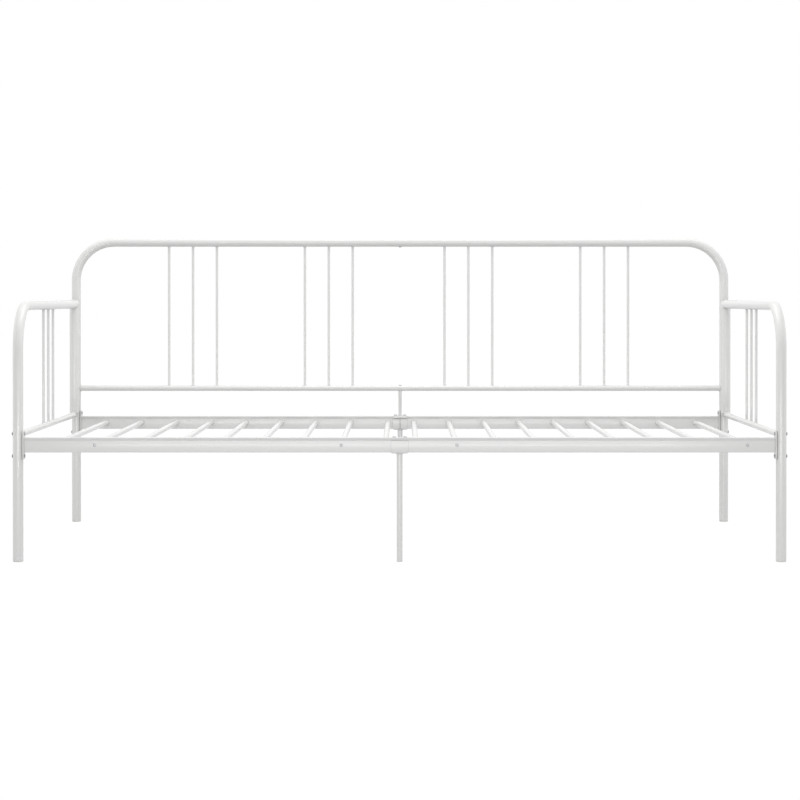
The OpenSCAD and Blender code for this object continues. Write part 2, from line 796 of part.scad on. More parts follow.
module bracket_bolts() {
    reach = rail_top - bracket_z - bracket_t;
    color("gray") {
        at_bracket_bolts(front_y) translate([0, 0, rail_top])
            bolt(reach, bolt_d, head_d, bracket_head_h);
        at_bracket_bolts(rear_y) translate([0, 0, rail_top + saddle_t])
            bolt(reach + saddle_t, bolt_d, head_d, bracket_head_h);
    }
}

module bracket_nuts() {
    color("silver") for (y = RAIL_Y) at_bracket_bolts(y)
        translate([0, 0, bracket_z]) rotate([180, 0, 0]) difference() {
            sleeve(bracket_t + nut_barrel, sleeve_flange_h);
            translate([0, 0, -cut]) cylinder(d = bolt_d + 2 * fit_play, h = 2 * cut);
        }
}

// ---------- feet ----------

// Foot under a tube of diameter d: the rim stands on the floor
module foot(d, wall) {
    translate([0, 0, foot_h]) rotate([180, 0, 0]) plug(d, wall, foot_h, foot_edge_r);
}

module leg_feet() {
    color("whitesmoke") for (y = RAIL_Y) for (s = SIDES)
        translate([s * leg_x, y, 0]) foot(tube_d, tube_wall);
}

module centre_leg_feet() {
    color("whitesmoke") for (y = RAIL_Y) translate([0, y, 0]) foot(centre_leg_d, centre_leg_wall);
}

back_hoop_left();
back_hoop_right();
back_top_spigot();
back_lower_rail_left();
back_lower_rail_right();
back_lower_spigot();
back_spindles_left();
back_spindles_right();
back_joint_bolts();
back_joint_nut();
rear_centre_post();
side_left_arm_tube();
side_right_arm_tube();
side_left_upright();
side_right_upright();
side_left_cross_rail();
side_right_cross_rail();
side_left_spindles();
side_right_spindles();
arm_end_plugs();
cross_rail_plugs();
front_rail_left();
front_rail_right();
rear_rail_left();
rear_rail_right();
rail_end_plates();
slats_left_plain();
slats_left_tie();
slats_right_plain();
slats_right_tie();
slat_plugs_front();
slat_plugs_rear();
slat_inserts();
slat_screws();
centre_bracket_front();
centre_bracket_rear();
centre_leg_front();
centre_leg_rear();
bracket_bolts();
bracket_nuts();
rail_bolts();
rail_nuts();
side_joint_bolts();
side_joint_spacers();
side_joint_nuts();
leg_feet();
centre_leg_feet();
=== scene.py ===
"""Looks of a white daybed frame of bent steel tube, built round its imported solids.

Lengths are in metres unless a name ends in _mm. Places are in the frame's own axes:
+X along the bed, +Y from the open front to the back panel, +Z up from the floor.
"""

from __future__ import annotations

import sys

import logging
import math
from abc import ABC, abstractmethod
from collections.abc import Iterable, Mapping, Sequence
from dataclasses import dataclass, field
from enum import Enum

import bpy
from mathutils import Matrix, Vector


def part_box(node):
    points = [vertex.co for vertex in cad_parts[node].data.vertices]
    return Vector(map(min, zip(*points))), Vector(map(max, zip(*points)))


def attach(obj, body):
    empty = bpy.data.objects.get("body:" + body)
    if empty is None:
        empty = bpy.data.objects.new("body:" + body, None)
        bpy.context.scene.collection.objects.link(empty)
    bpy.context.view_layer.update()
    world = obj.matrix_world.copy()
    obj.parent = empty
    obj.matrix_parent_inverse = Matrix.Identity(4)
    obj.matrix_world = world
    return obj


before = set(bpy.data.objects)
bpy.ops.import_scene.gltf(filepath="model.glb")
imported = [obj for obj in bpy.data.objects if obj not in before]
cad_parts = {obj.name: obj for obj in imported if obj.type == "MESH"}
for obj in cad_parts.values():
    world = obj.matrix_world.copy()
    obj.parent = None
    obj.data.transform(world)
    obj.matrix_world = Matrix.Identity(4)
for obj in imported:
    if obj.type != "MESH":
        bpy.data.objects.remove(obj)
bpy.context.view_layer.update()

LOG = logging.getLogger("daybed")
ROOT = "root"
MM = 0.001

# Places of the colour sockets of Blender's mix node
MIX_SHARE, MIX_A, MIX_B, MIX_RESULT = 0, 6, 7, 2

X_AXIS = Vector((1, 0, 0))
Y_AXIS = Vector((0, 1, 0))
Z_AXIS = Vector((0, 0, 1))


class Side(Enum):
    """The two ends of the bed, with the sign of their X places."""

    LEFT = -1
    RIGHT = 1

    @property
    def label(self) -> str:
        """The side's word in the names of the solids."""
        return self.name.lower()


class Row(Enum):
    """The two long sides of the bed, with the sign that points to the slats."""

    FRONT = 1
    REAR = -1

    @property
    def label(self) -> str:
        """The row's word in the names of the solids."""
        return self.name.lower()


def linear_colour(hex_colour: str) -> tuple[float, float, float, float]:
    """Turns an sRGB hex colour into linear light.

    Args:
        hex_colour: Six hex digits after a hash sign.

    Returns:
        Red, green, blue and an alpha of 1, in linear light.
    """
    channels = [int(hex_colour[i:i + 2], 16) / 255 for i in (1, 3, 5)]
    low_limit = 0.04045
    linear = [c / 12.92 if c <= low_limit else ((c + 0.055) / 1.055) ** 2.4 for c in channels]
    return (*linear, 1.0)


def per_metre(period_mm: float) -> float:
    """Gives a texture's scale, in repeats per metre, from one repeat in millimetres."""
    return 1 / (period_mm * MM)


def add_node(tree: bpy.types.NodeTree, kind: str, inputs: Mapping[str | int, object] | None = None,
             **settings: object) -> bpy.types.Node:
    """Adds one node to a tree, with its settings and what feeds it.

    Args:
        tree: The tree that gets the node.
        kind: The node's type name.
        inputs: A value for each named input, or the output that is linked to it.
        settings: Attributes of the node, such as its mode.

    Returns:
        The new node.
    """
    node = tree.nodes.new(kind)
    for name, value in settings.items():
        setattr(node, name, value)
    for name, value in (inputs or {}).items():
        if isinstance(value, bpy.types.NodeSocket):
            tree.links.new(value, node.inputs[name])
        else:
            node.inputs[name].default_value = value
    return node


# ---------- finishes ----------


@dataclass(frozen=True)
class Finish(ABC):
    """A material of the daybed: what it is and how its surface was made."""

    name: str
    slot: str
    colour: str
    shade: str
    roughness: float

    def build(self) -> bpy.types.Material:
        """Builds the material.

        Returns:
            A node material with one principled shader.
        """
        material = bpy.data.materials.new(self.name)
        material.use_nodes = True
        tree = material.node_tree
        tree.nodes.clear()
        shader = add_node(tree, "ShaderNodeBsdfPrincipled",
                          {"Base Color": linear_colour(self.colour), "Roughness": self.roughness})
        self.dress(tree, shader)
        add_node(tree, "ShaderNodeOutputMaterial", {"Surface": shader.outputs["BSDF"]})
        return material

    def cloud(self, tree: bpy.types.NodeTree, shader: bpy.types.Node, period_mm: float,
              spread: float) -> None:
        """Lets colour and roughness drift slowly over the surface.

        Args:
            tree: The material's nodes.
            shader: Its principled shader.
            period_mm: Size of one cloud.
            spread: How far the roughness drifts either way.
        """
        place = add_node(tree, "ShaderNodeTexCoord")
        drift = add_node(tree, "ShaderNodeTexNoise", {
            "Vector": place.outputs["Object"], "Scale": per_metre(period_mm), "Detail": 3.0})
        colour = add_node(tree, "ShaderNodeMix", {
            MIX_SHARE: drift.outputs["Fac"], MIX_A: linear_colour(self.colour),
            MIX_B: linear_colour(self.shade)}, data_type="RGBA")
        tree.links.new(colour.outputs[MIX_RESULT], shader.inputs["Base Color"])
        rough = add_node(tree, "ShaderNodeMapRange", {
            "Value": drift.outputs["Fac"], "To Min": self.roughness - spread,
            "To Max": self.roughness + spread})
        tree.links.new(rough.outputs["Result"], shader.inputs["Roughness"])

    @abstractmethod
    def dress(self, tree: bpy.types.NodeTree, shader: bpy.types.Node) -> None:
        """Adds this finish's own detail to the shader.

        Args:
            tree: The material's nodes.
            shader: Its principled shader.
        """


@dataclass(frozen=True)
class PowderCoat(Finish):
    """Polyester powder, sprayed dry on steel and stoved to a closed film.

    The film flows out to soft waves, the orange peel, and keeps a fine grain in its gloss.
    """

    # Orange peel runs 2 to 4 mm from wave to wave and is a few thousandths of that deep
    peel_mm: float = 2.6
    peel_depth_mm: float = 0.008
    # Powder grains measure 0.05 mm, too fine to show, so they are drawn ten times as coarse
    grain_mm: float = 0.5
    grain_depth_mm: float = 0.0015
    cloud_mm: float = 70.0
    cloud_spread: float = 0.03
    ior: float = 1.5
    # Reach of the painted corner shade, and the grey that is painted into tight corners as shade
    corner_mm: float = 3.0
    corner_shade_grey: str = "#BCBCBB"
    corner_rays: int = 8

    def paint_corner_shade(self, tree: bpy.types.NodeTree, shader: bpy.types.Node) -> None:
        """Paints shade into tight corners and gaps by greying the colour where ambient occlusion
        finds near surfaces.

        Args:
            tree: The material's nodes.
            shader: Its principled shader, whose colour is already linked.
        """
        # Painted shade: ambient occlusion greys the base colour in tight corners and gaps
        corner = add_node(tree, "ShaderNodeAmbientOcclusion",
                          {"Distance": self.corner_mm * MM}, samples=self.corner_rays)
        full = shader.inputs["Base Color"].links[0].from_socket
        corner_shaded_colour = add_node(tree, "ShaderNodeMix", {
            MIX_SHARE: corner.outputs["AO"], MIX_A: linear_colour(self.corner_shade_grey), MIX_B: full},
            data_type="RGBA")
        tree.links.new(corner_shaded_colour.outputs[MIX_RESULT], shader.inputs["Base Color"])

    def dress(self, tree: bpy.types.NodeTree, shader: bpy.types.Node) -> None:
        """Adds slow clouds, painted shade in the corners, orange peel and grain.

        Args:
            tree: The material's nodes.
            shader: Its principled shader.
        """
        shader.inputs["IOR"].default_value = self.ior
        self.cloud(tree, shader, self.cloud_mm, self.cloud_spread)
        # Painted shade in tight corners
        self.paint_corner_shade(tree, shader)
        place = add_node(tree, "ShaderNodeTexCoord")
        # Waves of the film where it flowed out in the oven
        peel = add_node(tree, "ShaderNodeTexNoise", {
            "Vector": place.outputs["Object"], "Scale": per_metre(self.peel_mm), "Detail": 1.0})
        waves = add_node(tree, "ShaderNodeBump", {
            "Height": peel.outputs["Fac"], "Distance": self.peel_depth_mm * MM,
            "Strength": 1.0})
        # Single powder grains that stayed proud of the film
        grain = add_node(tree, "ShaderNodeTexNoise", {
            "Vector": place.outputs["Object"], "Scale": per_metre(self.grain_mm), "Detail": 2.0})
        grit = add_node(tree, "ShaderNodeBump", {
            "Height": grain.outputs["Fac"], "Distance": self.grain_depth_mm * MM,
            "Strength": 1.0, "Normal": waves.outputs["Normal"]})
        tree.links.new(grit.outputs["Normal"], shader.inputs["Normal"])


@dataclass(frozen=True)
class ZincPlate(Finish):
    """Barrel-plated zinc on cold-headed steel: dull, slightly mottled, with tumbling dents."""

    # Dents of barrel plating are 0.2 to 1 mm wide
    crystal_mm: float = 0.8
    crystal_depth_mm: float = 0.01
    cloud_mm: float = 5.0
    cloud_spread: float = 0.08

    def dress(self, tree: bpy.types.NodeTree, shader: bpy.types.Node) -> None:
        """Adds mottled colour and the small dents of the barrel.

        Args:
            tree: The material's nodes.
            shader: Its principled shader.
        """
        shader.inputs["Metallic"].default_value = 1.0
        self.cloud(tree, shader, self.cloud_mm, self.cloud_spread)
        place = add_node(tree, "ShaderNodeTexCoord")
        dents = add_node(tree, "ShaderNodeTexVoronoi", {
            "Vector": place.outputs["Object"], "Scale": per_metre(self.crystal_mm)})
        bump = add_node(tree, "ShaderNodeBump", {
            "Height": dents.outputs["Distance"], "Distance": self.crystal_depth_mm * MM,
            "Strength": 1.0})
        tree.links.new(bump.outputs["Normal"], shader.inputs["Normal"])


@dataclass(frozen=True)
class DrawnSteel(Finish):
    """Bright steel drawn through a die: fine scratches run along the bar."""

    # Die lines lie 0.05 mm apart, too fine to show, so they are drawn eight times as coarse
    scratch_mm: float = 0.4
    scratch_length_mm: float = 30.0
    scratch_depth_mm: float = 0.004
    cloud_mm: float = 12.0
    cloud_spread: float = 0.06

    def dress(self, tree: bpy.types.NodeTree, shader: bpy.types.Node) -> None:
        """Adds drawing scratches along the bed's length.

        Args:
            tree: The material's nodes.
            shader: Its principled shader.
        """
        shader.inputs["Metallic"].default_value = 1.0
        self.cloud(tree, shader, self.cloud_mm, self.cloud_spread)
        place = add_node(tree, "ShaderNodeTexCoord")
        along = per_metre(self.scratch_length_mm)
        across = per_metre(self.scratch_mm)
        stretched = add_node(tree, "ShaderNodeMapping", {
            "Vector": place.outputs["Object"], "Scale": (along, across, across)})
        lines = add_node(tree, "ShaderNodeTexNoise", {
            "Vector": stretched.outputs["Vector"], "Scale": 1.0, "Detail": 2.0})
        bump = add_node(tree, "ShaderNodeBump", {
            "Height": lines.outputs["Fac"], "Distance": self.scratch_depth_mm * MM,
            "Strength": 1.0})
        tree.links.new(bump.outputs["Normal"], shader.inputs["Normal"])


@dataclass(frozen=True)
class MouldedPolyethylene(Finish):
    """White polyethylene, injection moulded: waxy, with the fine spark grain of its mould."""

    # Spark grain of a mould is 0.1 to 0.2 mm, drawn coarser so that it shows
    grain_mm: float = 0.7
    grain_depth_mm: float = 0.02
    cloud_mm: float = 25.0
    cloud_spread: float = 0.04
    ior: float = 1.51
    skin_light: float = 0.08
    skin_depth_mm: float = 2.0

    def dress(self, tree: bpy.types.NodeTree, shader: bpy.types.Node) -> None:
        """Adds the mould's grain and a little light under the skin.

        Args:
            tree: The material's nodes.
            shader: Its principled shader.
        """
        shader.inputs["IOR"].default_value = self.ior
        shader.inputs["Subsurface Weight"].default_value = self.skin_light
        shader.inputs["Subsurface Radius"].default_value = (self.skin_depth_mm * MM,) * 3
        self.cloud(tree, shader, self.cloud_mm, self.cloud_spread)
        place = add_node(tree, "ShaderNodeTexCoord")
        grain = add_node(tree, "ShaderNodeTexVoronoi", {
            "Vector": place.outputs["Object"], "Scale": per_metre(self.grain_mm)},
            feature="SMOOTH_F1")
        bump = add_node(tree, "ShaderNodeBump", {
            "Height": grain.outputs["Distance"], "Distance": self.grain_depth_mm * MM,
            "Strength": 0.6})
        tree.links.new(bump.outputs["Normal"], shader.inputs["Normal"])


# Gives an even white with soft broad highlights that run along every tube, and painted shade that
# greys its tight corners
WHITE_COAT = PowderCoat("polyester_powder_coat_white", "white_powder_coat", "#E9E9E8",
                        "#E5E5E4", 0.20)
# Give small grey glints. The three are lit and shaded copies of one zinc: the pale one is painted
# light for heads that look up at the light, the dull one is painted shade for heads that look
# sideways
ZINC_PAINTED_LIGHT = ZincPlate("zinc_plated_steel_pale", "zinc_fasteners", "#D6D7D8", "#C6C7C9", 0.40)
ZINC = ZincPlate("zinc_plated_steel", "zinc_fasteners", "#BEBFC0", "#AEAFB1", 0.40)
ZINC_PAINTED_SHADE = ZincPlate("zinc_plated_steel_dull", "zinc_fasteners", "#A9AAAB", "#97989A", 0.42)
# Gives a cold grey shine with lines along the bar, mostly inside the tubes and under the rails
BRIGHT = DrawnSteel("drawn_steel_bright", "bright_steel", "#C4C5C7", "#B5B6B8", 0.30)
# Gives a softer, slightly warmer white than the coat, without its highlights
WHITE_PLASTIC = MouldedPolyethylene("moulded_polyethylene_white", "white_plastic", "#E6E6E4",
                                    "#E0E0DE", 0.48)


@dataclass
class FinishShop:
    """Builds each finish once and puts it on solids and on new pieces."""

    built: dict[str, bpy.types.Material] = field(default_factory=dict)

    def material(self, finish: Finish) -> bpy.types.Material:
        """Gives a finish's material, building it at its first use.

        Args:
            finish: The finish.

        Returns:
            Its one material, shared by all pieces that have it.
        """
        if finish.name not in self.built:
            self.built[finish.name] = finish.build()
        return self.built[finish.name]

    def coat(self, piece: bpy.types.Object, finish: Finish) -> None:
        """Puts a finish all over a piece."""
        piece.data.materials.clear()
        piece.data.materials.append(self.material(finish))

    def coat_solids(self, finish: Finish, nodes: Iterable[str]) -> None:
        """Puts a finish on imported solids.

        Args:
            finish: The finish.
            nodes: Names of the solids.
        """
        for node in nodes:
            self.coat(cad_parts[node], finish)
            LOG.info("solid %s: %s", node, finish.name)


# ---------- weld beads ----------


@dataclass(frozen=True)
class BeadPoint:
    """A place on a weld's root, with the directions along the two joined faces."""

    root: Vector
    along_a: Vector
    along_b: Vector
    share: float = 1.0


def round_tube_root(crossing: Vector, branch: Vector, run: Vector, branch_r: float, run_r: float,
                    reach: float = math.inf, steps: int = 72) -> list[BeadPoint]:
    """Follows the curve on which a round branch meets a round run at right angles.

    Args:
        crossing: Where the two axes cross.
        branch: Unit vector along the branch, away from the run.
        run: Unit vector along the run.
        branch_r: Radius of the branch.
        run_r: Radius of the run.
        reach: How far the run goes on past the crossing; the bead stops short of its end.
        steps: Number of points on the whole curve.

    Returns:
        The points in order. The curve is closed unless reach cuts it open.
    """
    across = run.cross(branch)
    points = []
    for step in range(steps):
        turn = math.tau * (step + 0.5) / steps
        away = math.cos(turn) * run + math.sin(turn) * across
        if branch_r * math.cos(turn) > reach:
            continue
        height = math.sqrt(max(run_r ** 2 - (branch_r * math.sin(turn)) ** 2, 0))
        normal = (branch_r * math.sin(turn) * across + height * branch) / run_r
        skin = away - away.dot(normal) * normal
        # The bead thins out where the branch's skin runs on into the run's skin
        steep = min(1.0, 1.6 * skin.length)
        thinnest = 0.05
        if skin.length < thinnest:
            skin = run.copy()
        points.append(BeadPoint(crossing + branch_r * away + height * branch, branch,
                                skin.normalized(), max(steep, thinnest)))
    return points


def flat_root(centre: Vector, branch: Vector, side: Vector, radius: float,
              steps: int = 72) -> list[BeadPoint]:
    """Follows the circle on which a round branch stands on a flat face.

    Args:
        centre: Where the branch's axis meets the face.
        branch: Unit vector along the branch, away from the face.
        side: Any unit vector in the face.
        radius: Radius of the branch.
        steps: Number of points.

    Returns:
        The points of the closed circle.
    """
    other = branch.cross(side)
    points = []
    for step in range(steps):
        turn = math.tau * step / steps
        away = math.cos(turn) * side + math.sin(turn) * other
        points.append(BeadPoint(centre + radius * away, branch, away))
    return points


@dataclass
class WeldSeam:
    """Beads of one sub-assembly, gathered into a single coated piece."""

    name: str
    ripple_mm: float = 1.7
    ripple_share: float = 0.07
    # Shares of the bead's leg: how far its middle stands off the root, and its half thickness
    stand_off: float = 0.3
    half_thick: float = 0.62
    # Size of an open bead at its ends, and how much it grows with each point from there
    end_share: float = 0.35
    end_growth: float = 0.3
    ring_points: int = 8
    vertices: list[Vector] = field(default_factory=list)
    faces: list[tuple[int, ...]] = field(default_factory=list)

    def add(self, points: Sequence[BeadPoint], size_mm: float, closed: bool = True) -> None:
        """Lays one bead along its root.

        Args:
            points: The root's points in order.
            size_mm: Leg length of the bead.
            closed: Whether the last point joins the first.
        """
        first = len(self.vertices)
        count = len(points)
        run = 0.0
        for index, point in enumerate(points):
            if index:
                run += (point.root - points[index - 1].root).length
            from_end = min(index, count - 1 - index)
            taper = 1.0 if closed else min(1.0, self.end_share + self.end_growth * from_end)
            ripple = 1 + self.ripple_share * math.sin(math.tau * run / (self.ripple_mm * MM))
            leg = size_mm * MM * taper * point.share
            centre = point.root + self.stand_off * leg * (point.along_a + point.along_b)
            for corner in range(self.ring_points):
                turn = math.tau * corner / self.ring_points
                spoke = math.cos(turn) * point.along_a + math.sin(turn) * point.along_b
                self.vertices.append(centre + self.half_thick * leg * ripple * spoke)
        for index in range(count if closed else count - 1):
            here = first + index * self.ring_points
            there = first + (index + 1) % count * self.ring_points
            for corner in range(self.ring_points):
                after = (corner + 1) % self.ring_points
                self.faces.append((here + corner, here + after, there + after, there + corner))
        if not closed:
            self.faces.append(tuple(first + c for c in reversed(range(self.ring_points))))
            last = first + (count - 1) * self.ring_points
            self.faces.append(tuple(last + c for c in range(self.ring_points)))

    def build(self, shop: FinishShop) -> bpy.types.Object:
        """Makes the piece, coats it and lets it ride on the frame.

        Args:
            shop: Where the finish comes from.

        Returns:
            The finished piece.
        """
        mesh = bpy.data.meshes.new(self.name)
        mesh.from_pydata([tuple(v) for v in self.vertices], [], self.faces)
        mesh.validate()
        mesh.shade_smooth()
        piece = bpy.data.objects.new(self.name, mesh)
        bpy.context.scene.collection.objects.link(piece)
        shop.coat(piece, WHITE_COAT)
        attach(piece, ROOT)
        LOG.info("piece %s: %d faces", self.name, len(mesh.polygons))
        return piece


# ---------- sub-assemblies ----------


@dataclass
class BackPanel:
    """Hoop in two halves with a lower rail, spindles in groups and a centre post."""

    tube_r: float = 14 * MM
    rail_r: float = 9 * MM
    spindle_r: float = 4 * MM
    post_r: float = 5.25 * MM
    spindle_pitch: float = 75.5 * MM
    group_size: int = 3
    saddle_h: float = 7 * MM
    spindle_bead_mm: float = 1.3
    rail_bead_mm: float = 1.8

    def spindle_places(self, side: Side) -> list[float]:
        """Finds where one half's spindles stand, from the box that holds them.

        Args:
            side: Which half of the back.

        Returns:
            Their places along X.
        """
        low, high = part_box(f"back_spindles_{side.label}")
        steps = [self.spindle_r + k * self.spindle_pitch for k in range(self.group_size)]
        return [low.x + s for s in steps] + [high.x - s for s in steps]

    def dress(self, shop: FinishShop) -> None:
        """Coats the tubes and fasteners and lays the beads.

        Args:
            shop: Where the finishes come from.
        """
        halves = [f"back_{part}_{side.label}" for part in ("hoop", "lower_rail", "spindles")
                  for side in Side]
        shop.coat_solids(WHITE_COAT, [*halves, "rear_centre_post"])
        shop.coat_solids(BRIGHT, ["back_top_spigot", "back_lower_spigot", "back_joint_nut"])
        # Painted light: the lighter copy of the zinc, for bolt heads that look up at the light
        shop.coat_solids(ZINC_PAINTED_LIGHT, ["back_joint_bolts"])
        self.welds().build(shop)

    def welds(self) -> WeldSeam:
        """Lays the beads of spindles, lower rail and post.

        Returns:
            The seam, ready to build.
        """
        seam = WeldSeam("back_panel_weld_beads")
        hoop_low, hoop_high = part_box("back_hoop_right")
        rail_low, rail_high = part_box("back_lower_rail_right")
        y = (rail_low.y + rail_high.y) / 2
        top = Vector((0, y, hoop_high.z - self.tube_r))
        lower = Vector((0, y, (rail_low.z + rail_high.z) / 2))
        for side in Side:
            for x in self.spindle_places(side):
                shift = Vector((x, 0, 0))
                seam.add(round_tube_root(top + shift, -Z_AXIS, X_AXIS, self.spindle_r, self.tube_r),
                         self.spindle_bead_mm)
                seam.add(round_tube_root(lower + shift, Z_AXIS, X_AXIS, self.spindle_r,
                                         self.rail_r), self.spindle_bead_mm)
            leg = lower + side.value * (hoop_high.x - self.tube_r) * X_AXIS
            seam.add(round_tube_root(leg, -side.value * X_AXIS, Z_AXIS, self.rail_r, self.tube_r),
                     self.rail_bead_mm)
        seam.add(round_tube_root(lower, -Z_AXIS, X_AXIS, self.post_r, self.rail_r),
                 self.spindle_bead_mm)
        saddle_top = Vector((0, y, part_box("rear_centre_post")[0].z + self.saddle_h))
        seam.add(flat_root(saddle_top, Z_AXIS, X_AXIS, self.post_r), self.spindle_bead_mm)
        return seam


@dataclass
class SidePanel:
    """Front leg and arm in one bent tube, rear upright, cross rail and spindles."""

    side: Side
    tube_r: float = 14 * MM
    rail_r: float = 9 * MM
    spindle_r: float = 4 * MM
    spindle_pitch: float = 75.5 * MM
    group_size: int = 3
    plug_rim: float = 2 * MM
    spindle_bead_mm: float = 1.3
    tube_bead_mm: float = 2.0

    def dress(self, shop: FinishShop) -> None:
        """Coats the tubes and lays the beads.

        Args:
            shop: Where the finishes come from.
        """
        parts = ("arm_tube", "upright", "cross_rail", "spindles")
        shop.coat_solids(WHITE_COAT, [f"side_{self.side.label}_{part}" for part in parts])
        self.welds().build(shop)

    def welds(self) -> WeldSeam:
        """Lays the beads of spindles, cross rail and upright.

        Returns:
            The seam, ready to build.
        """
        seam = WeldSeam(f"side_{self.side.label}_weld_beads")
        arm_low, arm_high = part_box(f"side_{self.side.label}_arm_tube")
        rail_low, rail_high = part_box(f"side_{self.side.label}_cross_rail")
        spindle_low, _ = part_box(f"side_{self.side.label}_spindles")
        upright_low, upright_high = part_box(f"side_{self.side.label}_upright")
        x = (arm_low.x + arm_high.x) / 2
        arm = Vector((x, 0, arm_high.z - self.tube_r))
        rail = Vector((x, 0, (rail_low.z + rail_high.z) / 2))
        for k in range(self.group_size):
            shift = Vector((0, spindle_low.y + self.spindle_r + k * self.spindle_pitch, 0))
            seam.add(round_tube_root(arm + shift, -Z_AXIS, Y_AXIS, self.spindle_r, self.tube_r),
                     self.spindle_bead_mm)
            seam.add(round_tube_root(rail + shift, Z_AXIS, Y_AXIS, self.spindle_r, self.rail_r),
                     self.spindle_bead_mm)
        leg = rail + (arm_low.y + self.tube_r) * Y_AXIS
        seam.add(round_tube_root(leg, Y_AXIS, Z_AXIS, self.rail_r, self.tube_r), self.tube_bead_mm)
        upright_y = (upright_low.y + upright_high.y) / 2
        reach = arm_high.y - upright_y - self.plug_rim
        head = round_tube_root(arm + upright_y * Y_AXIS, -Z_AXIS, Y_AXIS, self.tube_r, self.tube_r,
                               reach)
        seam.add(self.from_gap(head), self.tube_bead_mm, closed=False)
        seam.add(self.upright_foot(rail + upright_y * Y_AXIS, upright_low.z, reach),
                 self.tube_bead_mm, closed=False)
        return seam

    @staticmethod
    def from_gap(points: list[BeadPoint]) -> list[BeadPoint]:
        """Starts an open bead's list just after the widest step between two of its points.

        Args:
            points: The points in order round the joint.

        Returns:
            The same points, from one end of the bead to the other.
        """
        steps = [(b.root - a.root).length for a, b in zip(points, points[1:] + points[:1])]
        start = (steps.index(max(steps)) + 1) % len(points)
        return points[start:] + points[:start]

    def upright_foot(self, rail_axis: Vector, foot_z: float, reach: float) -> list[BeadPoint]:
        """Follows the foot of the upright round the cross rail, open at the rail's rear end.

        Args:
            rail_axis: Where the upright's axis crosses the rail's.
            foot_z: Height of the upright's closed foot.
            reach: How far the rail goes on past the upright's axis.

        Returns:
            The points from one side of the rail over its front to the other side.
        """
        half_w = math.sqrt(self.rail_r ** 2 - (foot_z - rail_axis.z) ** 2)
        front_y = math.sqrt(self.tube_r ** 2 - half_w ** 2)
        points = []
        side_steps, front_steps = 16, 20
        for sign in (-1, 1):
            for step in range(side_steps):
                share = step / side_steps if sign < 0 else 1 - (step + 1) / side_steps
                y = reach - share * (reach + front_y)
                root = rail_axis + Vector((sign * half_w, y, foot_z - rail_axis.z))
                # Down the rail's flank, away from the upright
                skin = Vector((sign * 0.75, 0, -0.66))
                points.append(BeadPoint(root, Vector((sign, 0, 0)), skin))
            if sign < 0:
                for step in range(front_steps + 1):
                    x = half_w * (2 * step / front_steps - 1)
                    y = -math.sqrt(self.tube_r ** 2 - x ** 2)
                    z = math.sqrt(self.rail_r ** 2 - x ** 2)
                    points.append(BeadPoint(rail_axis + Vector((x, y, z)), Z_AXIS.copy(), -Y_AXIS))
        return points


@dataclass
class SeatRail:
    """Half of a seat rail with the plate that bolts it to its leg."""

    row: Row
    side: Side
    body_half: float = 8 * MM
    lip_half: float = 10 * MM
    half_height: float = 20 * MM
    lip_height: float = 8.5 * MM
    lip_rim: float = 1.5 * MM
    edge_r: float = 2 * MM
    crown: float = 0.8 * MM
    crown_steps: int = 6
    bead_mm: float = 1.6
    bead_step: float = 0.6 * MM

    def dress(self, shop: FinishShop) -> None:
        """Coats the rail and lays the bead at its end plate.

        Args:
            shop: Where the finishes come from.
        """
        shop.coat_solids(WHITE_COAT, [f"{self.row.label}_rail_{self.side.label}"])
        self.welds().build(shop)

    def face(self, z: float) -> float:
        """Half the body's thickness at a height above its middle, where the faces are crowned."""
        radius = (self.half_height ** 2 + self.crown ** 2) / (2 * self.crown)
        return self.body_half - radius + math.sqrt(radius ** 2 - z ** 2)

    def outline(self) -> list[tuple[float, float]]:
        """Draws the rail's section.

        Returns:
            Its corners in order, as (Y, Z) from the middle of its box.
        """
        h, lip, e = self.half_height, self.lip_half, self.edge_r
        low, high = e - h, h - self.lip_height
        foot = self.face(low)
        # Where the round lower edge's middle stands in from its corner
        cut = 0.3 * e
        rise = [low + (high - low) * step / self.crown_steps
                for step in range(self.crown_steps + 1)]
        half = [(foot - e, -h), (foot - cut, -h + cut), *[(self.face(z), z) for z in rise],
                (lip, h - self.lip_rim), (lip - self.lip_rim / 2, h)]
        return half + [(-y, z) for y, z in reversed(half)]

    def welds(self) -> WeldSeam:
        """Lays the bead round the rail's outer end.

        Returns:
            The seam, ready to build.
        """
        seam = WeldSeam(f"{self.row.label}_rail_{self.side.label}_weld_bead")
        low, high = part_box(f"{self.row.label}_rail_{self.side.label}")
        end_x = high.x if self.side is Side.RIGHT else low.x
        middle = Vector((end_x, (low.y + high.y) / 2, (low.z + high.z) / 2))
        corners = self.outline()
        inward = -self.side.value * X_AXIS
        points = []
        for (y0, z0), (y1, z1) in zip(corners, corners[1:] + corners[:1]):
            length = math.hypot(y1 - y0, z1 - z0)
            steps = max(1, round(length / self.bead_step))
            normal = Vector((0, z1 - z0, -(y1 - y0))) / length
            for step in range(steps):
                share = (step + 0.5) / steps
                root = middle + Vector((0, y0 + share * (y1 - y0), z0 + share * (z1 - z0)))
                points.append(BeadPoint(root, inward, normal))
        seam.add(points, self.bead_mm)
        return seam


@dataclass
class SlatBase:
    """Round cross slats with plastic ends, and the screwed tie slats among them."""

    def dress(self, shop: FinishShop) -> None:
        """Coats slats, plugs, inserts and screws.

        Args:
            shop: Where the finishes come from.
        """
        shop.coat_solids(WHITE_COAT, [f"slats_{side.label}_{kind}" for side in Side
                                      for kind in ("plain", "tie")])
        shop.coat_solids(WHITE_PLASTIC, [f"slat_plugs_{row.label}" for row in Row])
        shop.coat_solids(BRIGHT, ["slat_inserts"])
        shop.coat_solids(ZINC, ["slat_screws"])


